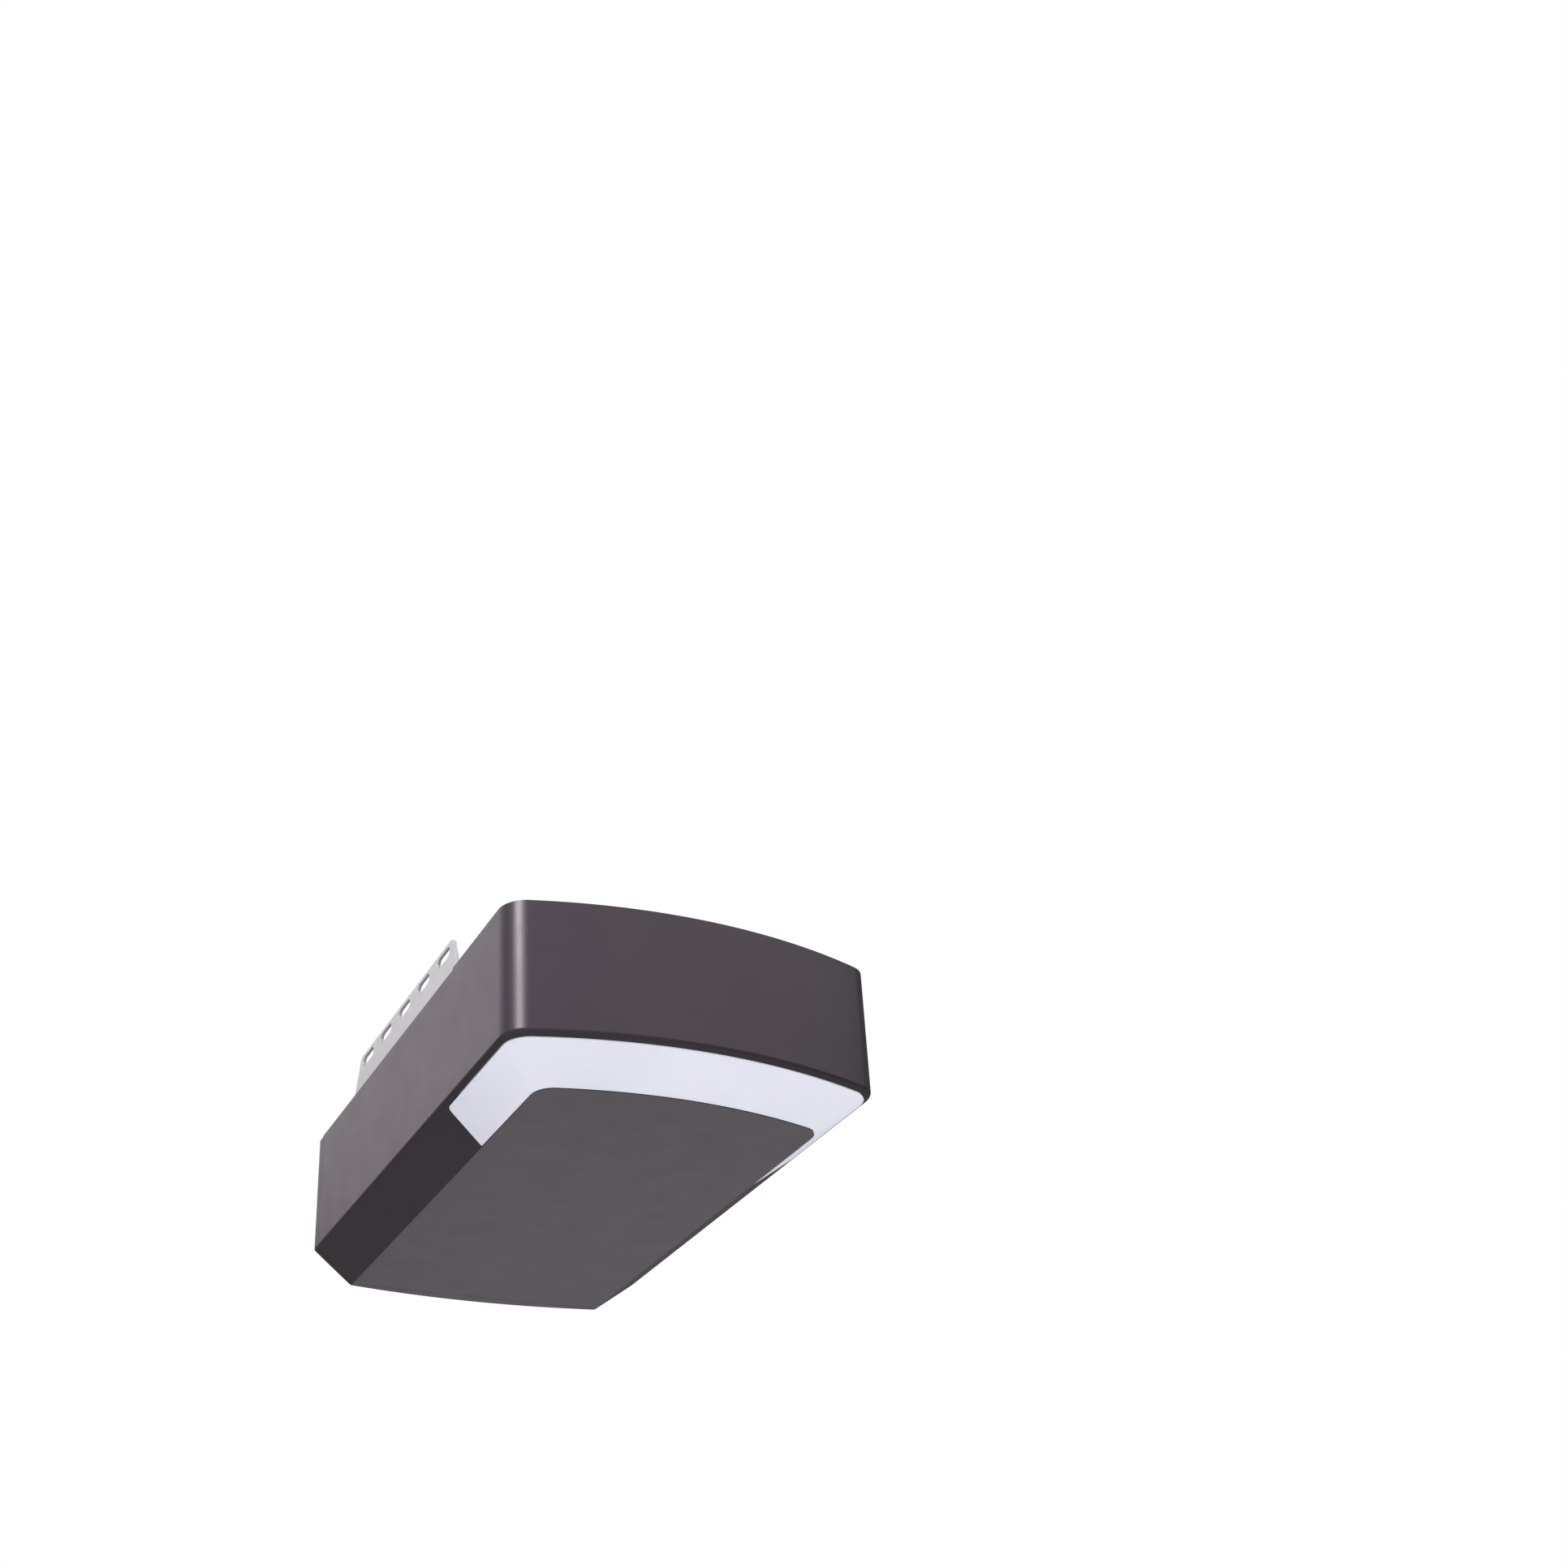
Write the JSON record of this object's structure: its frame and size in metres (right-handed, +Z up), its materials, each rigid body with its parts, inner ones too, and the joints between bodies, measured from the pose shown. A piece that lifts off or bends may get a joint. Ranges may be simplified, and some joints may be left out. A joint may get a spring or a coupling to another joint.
{
  "type": "garage door opener",
  "caption": "Ceiling-mounted garage door opener head with bowed plastic housing, wrap-round light lens, slotted hanging brackets and worm-geared motor.",
  "frame": {"origin": "on the output shaft's axis, level with the top face of the steel chassis plate", "axes": "+Z up along the output shaft, -Y towards the lit front, +Y towards the control end, +X to the right seen from behind"},
  "size_m": [0.2534, 0.4012, 0.1395],
  "materials": {
    "housing_plastic": "fine satin texture, dark warm grey",
    "lens_plastic": "milky diffuser, satin",
    "white_plastic": "satin",
    "led_board": "white solder mask",
    "galvanised": "galvanised, soft spangle",
    "zinc_fastener": "zinc plated",
    "black_screw": "black zinc",
    "cast_alloy": "die cast",
    "damper_rubber": "matte",
    "bronze": "sintered",
    "gear_nylon": "natural nylon",
    "steel": "ground",
    "can_steel": "zinc plated, drawn",
    "ferrite": "sintered ferrite",
    "black_plastic": "moulded",
    "copper": "enamelled copper",
    "green_board": "solder mask",
    "relay_blue": "moulded",
    "terminal_green": "moulded",
    "window_red": "smoked red",
    "button_grey": "satin",
    "button_red": "satin"
  },
  "bodies": {
    "frame": {"hood": "housing_plastic", "rear_cover": "housing_plastic", "front_deck": "housing_plastic", "light_lens": "lens_plastic", "light_reflector": "white_plastic", "led_board_left": "led_board", "led_board_right": "led_board", "led_board_front": "led_board", "chassis_plate": "galvanised", "bracket_left": "galvanised", "bracket_right": "galvanised", "bracket_rivets": "zinc_fastener", "housing_screws": "black_screw", "rail_seat": "galvanised", "rail_clamp_front": "galvanised", "rail_clamp_rear": "galvanised", "rail_clamp_bolts": "zinc_fastener", "gearbox_housing": "cast_alloy", "gearbox_lid": "cast_alloy", "gearbox_lid_screws": "zinc_fastener", "gearbox_mount_bolts": "zinc_fastener", "gearbox_dampers": "damper_rubber", "lower_bush": "bronze", "upper_bush": "bronze", "worm_bearings": "steel", "motor_can": "can_steel", "motor_magnets": "ferrite", "motor_end_cap": "black_plastic", "motor_through_bolts": "zinc_fastener", "motor_brushes": "ferrite", "encoder_board": "green_board", "transformer_core": "steel", "transformer_winding": "copper", "transformer_bracket": "galvanised", "chassis_screws": "zinc_fastener", "control_board": "green_board", "board_brackets": "galvanised", "board_screws": "zinc_fastener", "relays": "relay_blue", "capacitors": "black_plastic", "terminal_block": "terminal_green", "display_module": "black_plastic", "button_switches": "black_plastic", "control_panel": "housing_plastic", "display_window": "window_red", "mains_inlet": "black_plastic", "inlet_screws": "zinc_fastener"},
    "output": {"worm_wheel": "gear_nylon", "output_shaft": "steel", "shaft_key": "steel", "output_circlip": "black_screw"},
    "rotor": {"worm": "steel", "motor_shaft": "steel", "armature_core": "steel", "armature_winding": "copper", "commutator": "copper", "encoder_magnet": "ferrite"},
    "up_button": {"button_up": "button_grey"},
    "down_button": {"button_down": "button_grey"},
    "set_button": {"button_set": "button_red"}
  },
  "joints": [
    {"name": "motor_spin", "type": "hinge", "parent": "frame", "child": "rotor", "pos_m": [-0.039, 0, -0.034], "axis": [0, 1, 0], "continuous": true},
    {"name": "output_spin", "type": "hinge", "parent": "frame", "child": "output", "pos_m": [0, 0, 0], "axis": [0, 0, 1], "continuous": true},
    {"name": "button_up_press", "type": "slide", "parent": "frame", "child": "up_button", "axis": [0, -1, 0], "range_m": [0, 0.002], "stiffness_N_per_m": 600, "springref_m": -0.0005},
    {"name": "button_down_press", "type": "slide", "parent": "frame", "child": "down_button", "axis": [0, -1, 0], "range_m": [0, 0.002], "stiffness_N_per_m": 600, "springref_m": -0.0005},
    {"name": "button_set_press", "type": "slide", "parent": "frame", "child": "set_button", "axis": [0, -1, 0], "range_m": [0, 0.002], "stiffness_N_per_m": 600, "springref_m": -0.0005}
  ],
  "couplings": [
    {"joint": "output_spin", "follows": "motor_spin", "ratio": -0.033333}
  ]
}
